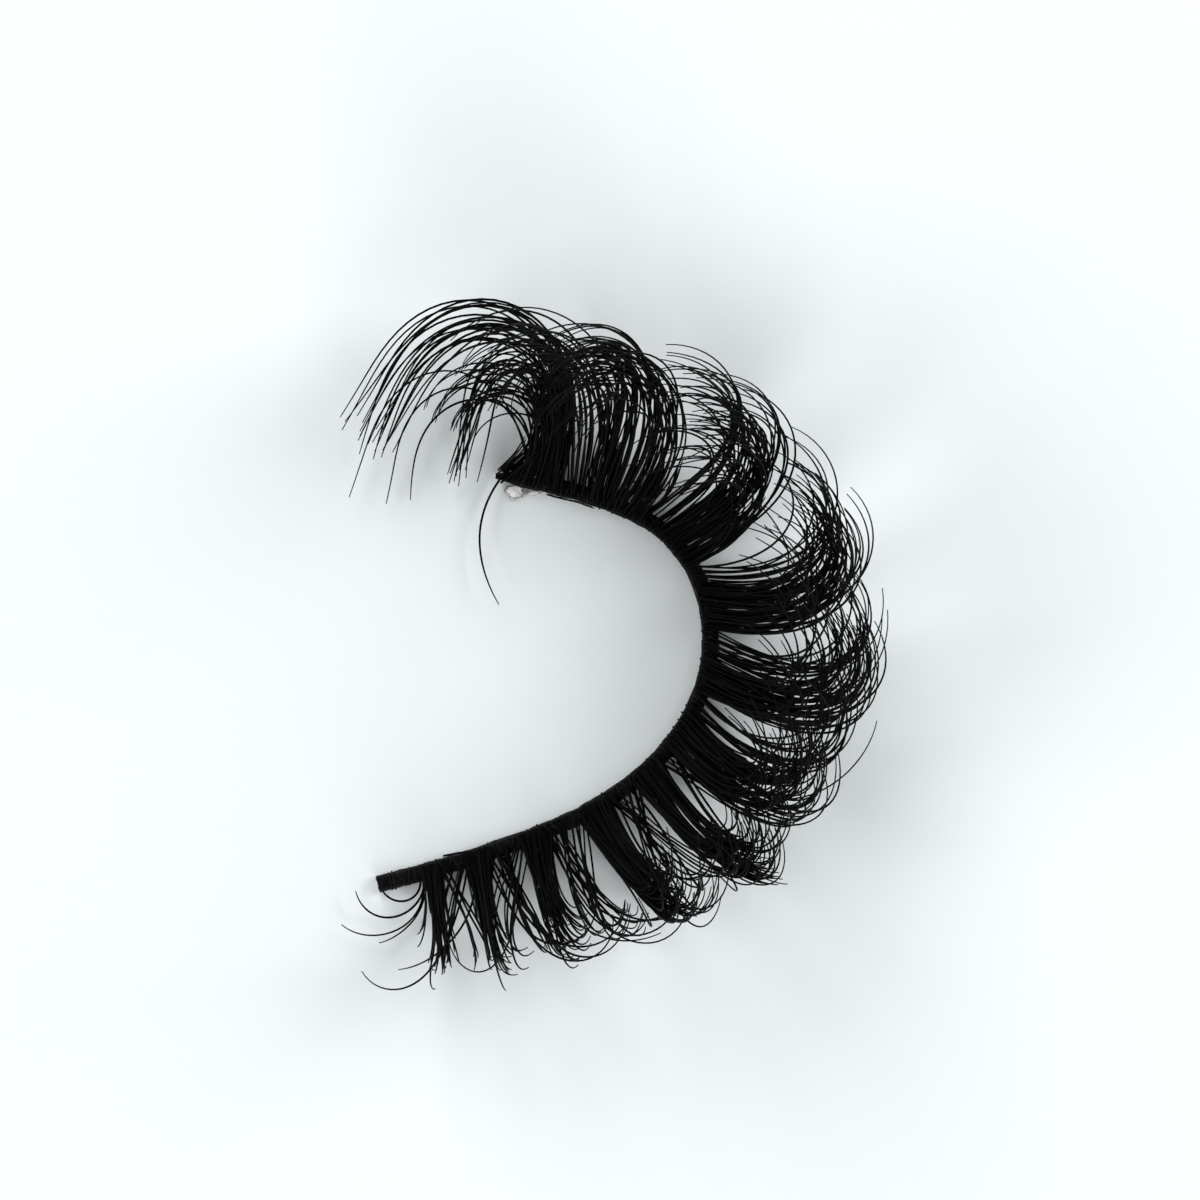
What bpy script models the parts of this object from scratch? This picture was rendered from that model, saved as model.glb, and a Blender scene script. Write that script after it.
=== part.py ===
"""False eyelash strip: a thread band bent to a C, with a row of curled hair clusters.

The band lies flat on the ground plane and opens toward -X. The outer corner of the eye is
its far end (+Y), the inner corner its near end (-Y). The origin is on the underside of the
band, at the middle of its length. Each cluster is one body: a root strip that sits on the
band, and flat tapered locks that grow out of it, sweep outward and curl up.
"""

import math
from collections import namedtuple

import bmesh
import bpy
from mathutils import Matrix, Vector

MM = 0.001

# Band
BAND_LENGTH = 33.5 * MM
BAND_WIDTH = 0.85 * MM
BAND_THICKNESS = 0.40 * MM
BAND_CHAMFER = 0.10 * MM
POINT_LENGTH = 1.2 * MM
POINT_WIDTH = 0.25 * MM
BAND_SECTION_STEP = 0.70 * MM
HEADING_AT_OUTER_END = -6.0
BAND_MIDDLE = 0.5

# Bend of the band from the outer end to the inner end: length of each arc as a share of
# the band length, and its turn in degrees
Arc = namedtuple("Arc", "length turn")
BAND_ARCS = (
    Arc(0.190, -18.0),
    Arc(0.150, -49.0),
    Arc(0.160, -44.0),
    Arc(0.130, -26.0),
    Arc(0.140, -16.0),
    Arc(0.230, -7.0),
)

# Root strips, which sit on the outer edge of the band
SEAT_GAP = 0.05 * MM
ROOT_HEIGHT = 0.45 * MM
ROOT_INSET = 0.45 * MM
ROOT_OVERHANG = 0.15 * MM
ROOT_SPACING = 0.12 * MM
BARE_OUTER_END = 1.3 * MM
BARE_INNER_END = 1.4 * MM

# Locks
HAIR_LENGTH = 17.0 * MM
LOCK_THICKNESS = 0.26 * MM
TIP_WIDTH = 0.16 * MM
TIP_THICKNESS = 0.10 * MM
LOCK_COLUMNS = 3
LOCK_SECTIONS = 9
STEPS_PER_SECTION = 4
LOCK_FILL = 0.80
CURL_POWER = 1.6
TAPER_POWER = 2.5

# Tiers of locks on a root strip, from the lowest: length and curl as shares of the
# cluster's own, and extra lift in degrees
Tier = namedtuple("Tier", "length curl lift")
TIERS = (
    Tier(1.00, 1.00, 0.0),
    Tier(0.80, 0.97, 14.0),
)

# Clusters from the outer corner to the inner corner: place as a share of the band length,
# length as a share of HAIR_LENGTH, then degrees of lean toward the inner corner, roll of the
# curl toward the outer corner, curl, lift off the surface, and fan across the cluster
Cluster = namedtuple("Cluster", "place length lean roll curl lift fan")
CLUSTERS = (
    Cluster(0.062, 0.90, -8.0, 76.0, 200.0, 12.0, 20.0),
    Cluster(0.153, 0.72, 18.0, 52.0, 155.0, 10.0, 18.0),
    Cluster(0.254, 0.77, 26.0, 48.0, 155.0, 10.0, 18.0),
    Cluster(0.344, 0.81, 26.0, 42.0, 155.0, 10.0, 18.0),
    Cluster(0.433, 0.85, 20.0, 37.0, 155.0, 10.0, 12.0),
    Cluster(0.521, 0.81, 14.0, 31.0, 150.0, 10.0, 8.0),
    Cluster(0.603, 0.77, 8.0, 26.0, 150.0, 10.0, 8.0),
    Cluster(0.691, 0.69, 2.0, 20.0, 146.0, 10.0, 6.0),
    Cluster(0.778, 0.62, 6.0, 12.0, 144.0, 10.0, 6.0),
    Cluster(0.863, 0.50, 9.0, 4.0, 142.0, 10.0, 6.0),
    Cluster(0.938, 0.42, 8.0, -6.0, 140.0, 10.0, 6.0),
)

THREAD_BLACK = (0.012, 0.012, 0.014)
THREAD_ROUGHNESS = 0.55
FIBRE_BLACK = (0.008, 0.008, 0.009)
FIBRE_ROUGHNESS = 0.38
SHARP_ANGLE = 40.0
UP = Vector((0.0, 0.0, 1.0))


def clear_scene():
    for thing in list(bpy.data.objects):
        bpy.data.objects.remove(thing, do_unlink=True)


def make_material(name, colour, roughness):
    material = bpy.data.materials.new(name)
    material.use_nodes = True
    shader = material.node_tree.nodes["Principled BSDF"]
    shader.inputs["Base Color"].default_value = (*colour, 1.0)
    shader.inputs["Roughness"].default_value = roughness
    shader.inputs["Metallic"].default_value = 0.0
    material.diffuse_color = (*colour, 1.0)
    return material


def thread_material():
    return make_material("band_thread", THREAD_BLACK, THREAD_ROUGHNESS)


def fibre_material(node):
    return make_material(f"{node}_fibre", FIBRE_BLACK, FIBRE_ROUGHNESS)


def direction(degrees):
    angle = math.radians(degrees)
    return Vector((math.cos(angle), math.sin(angle), 0.0))


def walk_band(share):
    """Point and heading after this share of the band, walked arc by arc."""
    point = Vector((0.0, 0.0, 0.0))
    heading = HEADING_AT_OUTER_END
    left = share
    for arc in BAND_ARCS:
        part = min(left, arc.length)
        turn = arc.turn * part / arc.length
        half = math.radians(turn) / 2
        chord = part * BAND_LENGTH * (math.sin(half) / half if half else 1.0)
        point += direction(heading + turn / 2) * chord
        heading += turn
        left -= part
    return point, heading


def band_frame(share):
    """Centre of the underside at this share, and the heading of the band there."""
    point, heading = walk_band(share)
    middle, _ = walk_band(BAND_MIDDLE)
    return point - middle, heading


def outward_at(share):
    """Centre of the underside at this share, and the outward direction there."""
    centre, heading = band_frame(share)
    return centre, direction(heading + 90.0)


def add_object(name, shape, material, parent, world):
    """Object placed at world, from a shape drawn in world coordinates."""
    bmesh.ops.recalc_face_normals(shape, faces=shape.faces)
    shape.transform(world.inverted())
    mesh = bpy.data.meshes.new(name)
    shape.to_mesh(mesh)
    shape.free()
    mesh.materials.append(material)
    mesh.shade_smooth()
    mesh.set_sharp_from_angle(angle=math.radians(SHARP_ANGLE))
    thing = bpy.data.objects.new(name, mesh)
    bpy.context.scene.collection.objects.link(thing)
    thing.parent = parent
    thing.matrix_world = world
    return thing


def bridge_rings(shape, rings):
    """Quads between neighbouring rings, each ring with the same number of corners."""
    for near, far in zip(rings, rings[1:]):
        for i in range(len(near)):
            j = (i + 1) % len(near)
            shape.faces.new((near[i], near[j], far[j], far[i]))


def band_width_at(share):
    """Full width, narrowed to a point at the outer end."""
    along = min(1.0, share * BAND_LENGTH / POINT_LENGTH)
    return POINT_WIDTH + (BAND_WIDTH - POINT_WIDTH) * along


def band_section(share):
    """Corners of the chamfered cross-section, as outward and upward offsets."""
    half = band_width_at(share) / 2
    cut = min(BAND_CHAMFER, half / 2)
    top = BAND_THICKNESS
    return (
        (-half + cut, 0.0),
        (half - cut, 0.0),
        (half, cut),
        (half, top - cut),
        (half - cut, top),
        (-half + cut, top),
        (-half, top - cut),
        (-half, cut),
    )


def band_shares():
    """Places of the band's sections: one where the point begins, the rest evenly spaced."""
    start = POINT_LENGTH / BAND_LENGTH
    count = math.ceil((BAND_LENGTH - POINT_LENGTH) / BAND_SECTION_STEP)
    return [0.0] + [start + (1.0 - start) * i / count for i in range(count + 1)]


def build_band(parent):
    shape = bmesh.new()
    rings = []
    for share in band_shares():
        centre, outward = outward_at(share)
        corners = [centre + outward * out + UP * up for out, up in band_section(share)]
        rings.append([shape.verts.new(corner) for corner in corners])
    bridge_rings(shape, rings)
    shape.faces.new(rings[0])
    shape.faces.new(rings[-1])
    return add_object("lash_band", shape, thread_material(), parent, Matrix.Identity(4))


def root_limits(index):
    """First and last share of the band under a cluster's root strip."""
    places = [cluster.place for cluster in CLUSTERS]
    half_gap = ROOT_SPACING / 2 / BAND_LENGTH
    start = BARE_OUTER_END / BAND_LENGTH
    end = 1.0 - BARE_INNER_END / BAND_LENGTH
    if index > 0:
        start = (places[index - 1] + places[index]) / 2 + half_gap
    if index < len(places) - 1:
        end = (places[index] + places[index + 1]) / 2 - half_gap
    return start, end


def root_levels():
    """Heights that divide a root strip into its tiers, from its underside to its top."""
    underside = BAND_THICKNESS + SEAT_GAP
    return [underside + ROOT_HEIGHT * k / len(TIERS) for k in range(len(TIERS) + 1)]


def build_root_strip(shape, start, end):
    """Root strip with its outer side left open; gives the corners of that side."""
    levels = root_levels()
    inner = BAND_WIDTH / 2 - ROOT_INSET
    outer = BAND_WIDTH / 2 + ROOT_OVERHANG
    inside = []
    outside = []
    for j in range(LOCK_COLUMNS + 1):
        centre, outward = outward_at(start + (end - start) * j / LOCK_COLUMNS)
        inside.append([shape.verts.new(centre + outward * inner + UP * z) for z in levels])
        outside.append([shape.verts.new(centre + outward * outer + UP * z) for z in levels])
    for j in range(LOCK_COLUMNS):
        for k in (0, len(TIERS)):
            shape.faces.new((inside[j][k], inside[j + 1][k], outside[j + 1][k], outside[j][k]))
        for k in range(len(TIERS)):
            shape.faces.new(
                (inside[j][k], inside[j][k + 1], inside[j + 1][k + 1], inside[j + 1][k])
            )
    for j in (0, LOCK_COLUMNS):
        for k in range(len(TIERS)):
            shape.faces.new((inside[j][k], outside[j][k], outside[j][k + 1], inside[j][k + 1]))
    return outside


class LockPath:
    """Centre line of one lock: it leaves the root strip straight and curls in one plane."""

    def __init__(self, start, azimuth, lift, roll, curl, length):
        self.length = length
        self.curl = math.radians(curl)
        flat = direction(azimuth)
        rise = math.radians(lift)
        side = math.radians(roll)
        self.first = flat * math.cos(rise) + UP * math.sin(rise)
        raised = UP * math.cos(rise) - flat * math.sin(rise)
        aside = raised.cross(self.first)
        self.bend = raised * math.cos(side) + aside * math.sin(side)
        self.binormal = self.first.cross(self.bend)
        self.points = self.walk(start)

    def tangent(self, t):
        angle = self.curl * t**CURL_POWER
        return self.first * math.cos(angle) + self.bend * math.sin(angle)

    def walk(self, start):
        """Points at the ends of the sections."""
        points = [start]
        steps = LOCK_SECTIONS * STEPS_PER_SECTION
        for i in range(LOCK_SECTIONS):
            point = points[-1].copy()
            for j in range(STEPS_PER_SECTION):
                t = (i * STEPS_PER_SECTION + j + 0.5) / steps
                point += self.tangent(t) * (self.length / steps)
            points.append(point)
        return points

    def carry(self, vector, t):
        """A direction fixed to the lock at its start, carried along to t without twist."""
        normal = self.binormal.cross(self.tangent(t))
        return self.binormal * vector.dot(self.binormal) + normal * vector.dot(self.bend)


def grow_lock(shape, base, path, along, room, growth):
    """Flat tapered lock on the base corners, wide along the band where it starts."""
    flat = (along - path.first * along.dot(path.first)).normalized()
    rings = [base]
    for i in range(1, LOCK_SECTIONS + 1):
        t = i / LOCK_SECTIONS
        body = 1.0 - t**TAPER_POWER
        full = LOCK_FILL * (room + growth * t)
        wide = TIP_WIDTH + (full - TIP_WIDTH) * body
        deep = TIP_THICKNESS + (LOCK_THICKNESS - TIP_THICKNESS) * body
        across = path.carry(flat, t) * wide / 2
        upward = across.cross(path.tangent(t)).normalized() * deep / 2
        point = path.points[i]
        corners = (
            point - across - upward,
            point + across - upward,
            point + across + upward,
            point - across + upward,
        )
        rings.append([shape.verts.new(corner) for corner in corners])
    bridge_rings(shape, rings)
    shape.faces.new(rings[-1])


def build_cluster(index, parent):
    cluster = CLUSTERS[index]
    start, end = root_limits(index)
    levels = root_levels()
    room = (end - start) * BAND_LENGTH / LOCK_COLUMNS
    root, root_heading = band_frame(cluster.place)

    shape = bmesh.new()
    outside = build_root_strip(shape, start, end)
    for j in range(LOCK_COLUMNS):
        middle = (j + 0.5) / LOCK_COLUMNS
        centre, outward = outward_at(start + (end - start) * middle)
        azimuth = root_heading + 90.0 - cluster.lean - cluster.fan * (middle - 0.5)
        for k, tier in enumerate(TIERS):
            length = HAIR_LENGTH * cluster.length * tier.length
            height = (levels[k] + levels[k + 1]) / 2
            path = LockPath(
                centre + outward * (BAND_WIDTH / 2 + ROOT_OVERHANG) + UP * height,
                azimuth,
                cluster.lift + tier.lift,
                cluster.roll,
                cluster.curl * tier.curl,
                length,
            )
            base = [outside[j][k], outside[j + 1][k], outside[j + 1][k + 1], outside[j][k + 1]]
            growth = length * math.radians(cluster.fan) / LOCK_COLUMNS
            grow_lock(shape, base, path, direction(root_heading), room, growth)

    name = f"lash_cluster_{index + 1:02d}"
    turn = Matrix.Rotation(math.radians(root_heading), 4, "Z")
    world = Matrix.Translation(root) @ turn
    return add_object(name, shape, fibre_material(name), parent, world)


def build_strip():
    strip = bpy.data.objects.new("lash_strip", None)
    bpy.context.scene.collection.objects.link(strip)
    build_band(strip)
    for index in range(len(CLUSTERS)):
        build_cluster(index, strip)


clear_scene()
build_strip()
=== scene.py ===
"""False eyelash strip: single hairs in clusters on a knotted thread band, on a pale floor."""

import math
from collections import namedtuple
from typing import NamedTuple

import bmesh
import bpy
from bpy.props import FloatProperty, FloatVectorProperty, IntProperty, PointerProperty
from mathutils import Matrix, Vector, noise


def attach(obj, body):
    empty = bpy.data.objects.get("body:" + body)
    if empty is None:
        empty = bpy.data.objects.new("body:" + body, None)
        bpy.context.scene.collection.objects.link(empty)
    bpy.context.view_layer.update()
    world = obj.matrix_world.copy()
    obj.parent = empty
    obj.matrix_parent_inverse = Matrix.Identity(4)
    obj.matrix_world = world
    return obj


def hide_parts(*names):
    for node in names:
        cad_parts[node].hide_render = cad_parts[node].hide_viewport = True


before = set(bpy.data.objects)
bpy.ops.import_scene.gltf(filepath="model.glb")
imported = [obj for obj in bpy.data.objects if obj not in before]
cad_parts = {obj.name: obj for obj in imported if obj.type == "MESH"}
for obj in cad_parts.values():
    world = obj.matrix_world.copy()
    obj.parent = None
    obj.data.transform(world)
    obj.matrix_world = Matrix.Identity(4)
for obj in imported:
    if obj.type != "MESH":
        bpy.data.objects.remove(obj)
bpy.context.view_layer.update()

bl_info = {
    "name": "False Eyelash Strip",
    "version": (1, 0, 0),
    "blender": (4, 5, 0),
    "location": "3D View > Sidebar > Lash Strip",
    "description": "Grows the hairs, band and adhesive of a false eyelash strip",
    "category": "Object",
}

MM = 0.001
UP = Vector((0.0, 0.0, 1.0))

# Band, as the strip's solids have it: its sizes, its point at the outer end, the share of it
# that lies at the origin, then the length of each arc of its path as a share of the band length
# and the arc's turn in degrees, from the outer corner to the inner corner
BAND_LENGTH = 33.5 * MM
BAND_WIDTH = 0.85 * MM
BAND_THICKNESS = 0.40 * MM
POINT_LENGTH = 1.2 * MM
POINT_WIDTH = 0.25 * MM
HEADING_AT_OUTER_END = -6.0
BAND_MIDDLE = 0.5
PATH_POINTS = 400
Arc = namedtuple("Arc", "length turn")
BAND_ARCS = (
    Arc(0.190, -18.0),
    Arc(0.150, -49.0),
    Arc(0.160, -44.0),
    Arc(0.130, -26.0),
    Arc(0.140, -16.0),
    Arc(0.230, -7.0),
)

# Where hairs leave the band: offsets outward from its middle line, heights, and the bare
# stretch at each end
ROOT_INNER = -0.30 * MM
ROOT_OUTER = 0.42 * MM
ROOT_BOTTOM = 0.10 * MM
ROOT_TOP = 0.46 * MM
BARE_OUTER_END = 1.0 * MM
BARE_INNER_END = 1.1 * MM

# Hairs: corners round each one and points along it, the thinnest and thickest as shares of the
# usual one, how late it narrows to its tip, and how many waves it has
HAIR_SIDES = 5
HAIR_POINTS = 33
THINNEST_HAIR = 0.80
THICKEST_HAIR = 1.15
TAPER_POWER = 4.0
WAVES_PER_HAIR = 1.4

# Share of each random change that the hairs of a clump have in common, and how far a hair's
# root strays from its clump's place, in shares of the step to the next clump
CLUMP_HOLD = 0.8
ROOT_JITTER = 0.55

# How far aside a hair has gone halfway along it, as a share of its length, for each radian that
# it is turned at its root
GATHER_REACH = 0.29

# Random orders: the first one, the steps from one cluster, tuft or stray hair to the next, and
# the first one of the stray hairs
SEED = 11
CLUSTER_SEEDS = 1000
TUFT_SEEDS = 100
FIRST_STRAY_SEED = 20000

# Clusters from the outer corner to the inner corner: place as a share of the band length,
# length as a share of the longest hair, then degrees of lean toward the inner corner, roll of
# the curl toward the outer corner, how much more the roll is at the inner side of the
# cluster, curl and lift, then how far the hairs gather toward the middle of the cluster, and
# the kind of tufts that make it
Cluster = namedtuple("Cluster", "place length lean roll roll_fan curl lift gather kind")
CLUSTERS = (
    Cluster(0.062, 0.90, 4.0, 69.0, 0.0, 194.0, 15.0, 0.35, "wisp"),
    Cluster(0.153, 0.89, 7.0, 45.0, 44.0, 143.0, 15.0, -1.0, "crown"),
    Cluster(0.254, 0.79, 16.0, 44.0, 14.0, 140.0, 15.0, -0.25, "puff"),
    Cluster(0.344, 0.80, 25.0, 47.0, 0.0, 139.0, 15.0, 0.0, "puff"),
    Cluster(0.433, 0.84, 21.0, 41.0, 0.0, 139.0, 15.0, 0.0, "puff"),
    Cluster(0.521, 0.80, 17.0, 36.0, 0.0, 132.0, 15.0, 0.0, "puff"),
    Cluster(0.603, 0.73, 6.0, 30.0, 0.0, 154.0, 14.0, 0.4, "spike"),
    Cluster(0.691, 0.63, 1.0, 28.0, 0.0, 146.0, 14.0, 0.5, "spike"),
    Cluster(0.778, 0.51, 12.0, 20.0, 0.0, 104.0, 13.0, 0.7, "blade"),
    Cluster(0.863, 0.46, 10.0, 8.0, 0.0, 88.0, 13.0, 0.7, "blade"),
    Cluster(0.938, 0.39, 8.0, 0.0, 0.0, 68.0, 12.0, 0.6, "last"),
)


class Tuft(NamedTuple):
    """Tuft of hairs, as it differs from its cluster."""

    # Number of hairs, and how many of them make one clump
    hairs: int
    clump: int
    # Shares of the cluster's root between which it grows
    start: float = 0.0
    end: float = 1.0
    # Share of the cluster's length, the shortest hair's share of that, and how much shorter
    # the outermost hairs are
    length: float = 1.0
    shortest: float = 0.85
    dome: float = 0.15
    # Degrees on top of the cluster's own, each with its largest random change
    lean: float = 0.0
    lean_spread: float = 5.0
    lift: float = 2.0
    lift_spread: float = 8.0
    roll: float = 0.0
    roll_spread: float = 14.0
    # Share of the cluster's curl, and the largest random change as a share of that
    curl: float = 1.0
    curl_spread: float = 0.06
    # How late along the hair the curl comes, and how far it is instead kept between two shares
    # of the hair
    power: float = 1.6
    ease: float = 0.0
    bend_from: float = 0.0
    bend_to: float = 1.0
    # Share of the cluster's gather, and how far each clump closes up
    gather: float = 1.0
    pull: float = 0.7
    # Degrees by which the hairs fan out across the tuft, splay toward their tips, and wave
    fan: float = 0.0
    splay: float = 12.0
    wave: float = 2.0


# What tufts have in common: short hairs that fill the roots, hairs beside the cluster, hairs
# that cross the gap before it, hairs that fly away from it and hairs that stand by themselves
FILLING = {"lean_spread": 3, "splay": 4}
BESIDE = {"lean_spread": 6, "dome": 0.0, "gather": 0.0, "splay": 20, "wave": 4}
CROSSING = {
    "lean_spread": 4, "roll_spread": 16, "curl": 1.06, "curl_spread": 0.12, "dome": 0.0,
    "pull": 1.0, "splay": 14, "wave": 3,
}
FLYING = {
    "shortest": 0.8, "lift": 6, "lift_spread": 12, "roll_spread": 40, "curl": 1.3,
    "curl_spread": 0.15, "splay": 20, "wave": 6,
}
APART = {"lean_spread": 8, "power": 2.2, "dome": 0.0, "gather": 0.0, "splay": 30, "wave": 4}

TUFTS = {
    "puff": (
        Tuft(36, 4, start=0.34, length=0.40, shortest=0.6, curl=0.22, roll_spread=8, **FILLING),
        Tuft(40, 4, start=0.34, shortest=0.78, lean_spread=3, lift_spread=12,
             curl_spread=0.14, pull=0.9, splay=14),
        Tuft(20, 2, start=0.30, length=0.98, shortest=0.72, lean_spread=6, lift=6,
             lift_spread=12, roll_spread=44, curl=1.06, curl_spread=0.16, power=1.5, pull=0.7,
             splay=26, wave=4),
        Tuft(12, 4, end=0.36, shortest=0.82, lean=-5, gather=0.0, **CROSSING),
        Tuft(7, 1, length=0.96, lean_spread=10, power=1.5, gather=0.0, **FLYING),
    ),
    "crown": (
        Tuft(36, 4, start=0.22, length=0.30, shortest=0.6, curl=0.12, roll_spread=8, **FILLING),
        Tuft(40, 4, start=0.24, shortest=0.76, lean_spread=3, lift_spread=12,
             curl_spread=0.16, pull=1.0, splay=12),
        Tuft(22, 2, start=0.16, length=0.98, shortest=0.78, lean_spread=5, lift=6,
             lift_spread=12, roll_spread=44, curl=1.15, curl_spread=0.2, power=1.8, pull=0.8,
             splay=26, wave=4),
        Tuft(20, 2, start=-0.10, end=0.32, length=0.98, shortest=0.86, lean=-15, **CROSSING),
        Tuft(5, 1, length=0.92, lean_spread=8, power=1.8, gather=0.4, **FLYING),
    ),
    "spike": (
        Tuft(44, 4, start=0.20, end=0.80, length=0.80, shortest=0.7, dome=0.3, curl=0.40,
             lean_spread=2, roll_spread=6, splay=4),
        Tuft(40, 4, start=0.20, end=0.80, shortest=0.8, dome=0.3, lean_spread=2,
             roll_spread=12, curl_spread=0.22, power=2.5, splay=12),
        Tuft(6, 2, start=0.06, end=0.30, length=1.02, lean=-20, roll_spread=24, power=2.5,
             **BESIDE),
        Tuft(6, 2, start=0.70, end=0.94, length=0.92, lean=20, roll_spread=24, power=2.5,
             **BESIDE),
        Tuft(3, 3, start=-0.04, end=0.04, length=0.9, lean=4, **APART),
        Tuft(6, 1, start=0.1, end=0.9, length=1.06, lean_spread=12, roll_spread=50, curl=1.15,
             curl_spread=0.2, power=2.2, dome=0.0, fan=20, splay=34, wave=6),
    ),
    "blade": (
        Tuft(36, 4, start=0.24, end=0.76, length=0.66, shortest=0.6, curl=0.4, roll_spread=6,
             **FILLING),
        Tuft(28, 3, start=0.24, end=0.76, shortest=0.72, lean_spread=3, roll_spread=10,
             curl_spread=0.2, power=2.2, fan=26, splay=30),
        Tuft(6, 2, start=0.08, end=0.32, lean=-22, roll_spread=20, power=2.2, **BESIDE),
        Tuft(6, 2, start=0.68, end=0.92, lean=22, roll_spread=20, power=2.2, **BESIDE),
        Tuft(3, 3, start=-0.04, end=0.04, length=0.95, lean=-4, **APART),
        Tuft(4, 2, start=0.1, end=0.4, length=1.3, lean=-16, roll=60, curl=1.8, power=2.4,
             dome=0.0, gather=0.0, splay=16, wave=4),
        Tuft(1, 1, start=0.6, end=0.9, length=1.2, lean=14, roll=-70, curl=1.6, power=2.4,
             dome=0.0, gather=0.0, splay=16, wave=4),
    ),
    "last": (
        Tuft(28, 4, start=0.14, end=0.58, length=0.56, shortest=0.6, curl=0.5, roll_spread=6,
             **FILLING),
        Tuft(24, 3, start=0.14, end=0.58, shortest=0.72, lean_spread=3, roll_spread=10,
             curl_spread=0.2, fan=30, splay=34),
        Tuft(6, 2, start=0.04, end=0.24, lean=-22, roll_spread=20, **BESIDE),
    ),
    "wisp": (
        Tuft(48, 4, end=0.80, length=0.46, shortest=0.6, curl=0.26, power=1.8, **FILLING),
        Tuft(16, 3, end=0.75, length=0.72, shortest=0.72, curl=0.90, curl_spread=0.12,
             power=1.8, ease=0.3, lift_spread=12, roll_spread=20, splay=18),
        Tuft(20, 2, start=0.30, end=0.80, length=1.26, shortest=0.74, dome=0.0, lean_spread=3,
             lift=-2, lift_spread=5, roll=12, roll_spread=3, curl=0.85, curl_spread=0.08,
             ease=1.0, bend_from=0.05, bend_to=0.90, pull=0.9, splay=12),
        Tuft(13, 3, end=0.7, length=0.88, shortest=0.82, dome=0.0, lean=-8, lean_spread=6,
             roll=14, roll_spread=6, curl=0.90, ease=1.0, bend_from=0.22, bend_to=0.74,
             splay=10),
        Tuft(10, 2, start=0.35, end=0.78, length=0.72, shortest=0.8, lean=-6, lean_spread=5,
             roll=-40, roll_spread=44, curl=0.95, curl_spread=0.15, power=2.6, splay=26),
        Tuft(30, 2, start=-0.36, end=0.08, length=0.15, shortest=0.3, lean=34, lean_spread=12,
             curl=0.1, dome=0.0, gather=0.0, splay=4),
    ),
}

# Single hairs that stray from the clusters: place as a share of the band length, offset
# outward in millimetres, compass direction in which they start, length in millimetres, turn
# to the left in degrees, how late along the hair it comes, how far it is instead kept between
# the shares STRAY_BEND of the hair, and lift in degrees
STRAY_BEND = (-0.05, 0.88)
Stray = namedtuple("Stray", "place side heading length turn power ease lift")
STRAYS = (
    Stray(0.037, 0.9, 99.0, 13.6, 154.0, 1.0, 1.0, 4.0),
    Stray(0.042, 0.6, 95.0, 12.0, 164.0, 1.0, 1.0, 6.0),
    Stray(0.047, 0.6, 91.0, 10.6, 176.0, 1.0, 0.8, 10.0),
    Stray(0.038, 1.40, 215.0, 7.9, 88.0, 1.0, 0.0, 2.0),
    Stray(0.940, 0.3, -82.0, 5.4, -138.0, 1.0, 0.0, 4.0),
    Stray(0.938, 0.3, -84.0, 4.7, -172.0, 1.0, 0.0, 8.0),
    Stray(0.943, 0.3, -86.0, 3.2, -200.0, 1.0, 0.0, 12.0),
    Stray(0.935, 0.3, -92.0, 3.9, -76.0, 1.2, 0.0, 3.0),
    Stray(0.868, 0.3, -86.0, 6.5, -88.0, 1.2, 0.0, 5.0),
    Stray(0.780, 0.3, -86.0, 8.2, 110.0, 1.2, 0.0, 5.0),
    Stray(0.072, -0.45, -20.0, 1.4, 14.0, 1.0, 0.0, 0.0),
    Stray(0.104, -0.45, -12.0, 1.2, -14.0, 1.0, 0.0, 0.0),
    Stray(0.905, -0.46, 14.0, 1.6, -14.0, 1.0, 0.0, 0.0),
)
# How far a stray hair's curl leans over, where 90 degrees is flat, and its wave in degrees
STRAY_ROLL = 88.0
STRAY_WAVE = 2.0

# Ribbon: points along it and round it, height of its underside, and how high and how fine the
# unevenness of its surface is
FILM_POINTS = 420
FILM_SIDES = 14
FILM_UNDERSIDE = 0.035 * MM
FILM_UNEVENNESS = 0.14 * MM
FILM_GRAIN = 1900.0

# Twisted cords: offset outward from the middle line in millimetres, and number of turns
Cord = namedtuple("Cord", "offset turns")
CORDS = (
    Cord(-0.24, 74.0),
    Cord(0.20, 81.0),
)
CORD_PLIES = 3
CORD_POINTS = 640
CORD_SIDES = 6

# Knots: points round the loop and round its thread, how far each strays from even spacing as a
# share of the step, smallest and largest size, steepest slant, and the stretch without knots at
# the inner end
KNOT_POINTS = 18
KNOT_SIDES = 6
KNOT_JITTER = 0.35
KNOT_SIZES = (0.88, 1.06)
KNOT_SLANT = 0.5
KNOT_END_GAP = 0.2 * MM

# Bits of dried adhesive: place as a share of the band length, then offset outward, height of
# the middle, length, width, thickness, all in millimetres, and turn in degrees
Fleck = namedtuple("Fleck", "place side height length width thickness turn")
FLECKS = (
    Fleck(0.029, -0.60, 0.10, 0.96, 0.56, 0.16, 8.0),
    Fleck(0.028, -0.84, 0.06, 0.36, 0.30, 0.09, 50.0),
    Fleck(0.055, -0.50, 0.08, 0.56, 0.18, 0.12, 16.0),
    Fleck(0.078, -0.48, 0.07, 0.34, 0.12, 0.10, -8.0),
    Fleck(0.095, -0.47, 0.07, 0.54, 0.13, 0.11, 4.0),
    Fleck(0.117, -0.46, 0.06, 0.24, 0.11, 0.09, -14.0),
    Fleck(0.131, -0.45, 0.06, 0.38, 0.10, 0.09, 6.0),
    Fleck(0.054, 0.22, 0.50, 0.14, 0.07, 0.06, 30.0),
)
FLECK_RINGS = 7
FLECK_SECTORS = 22
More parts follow.
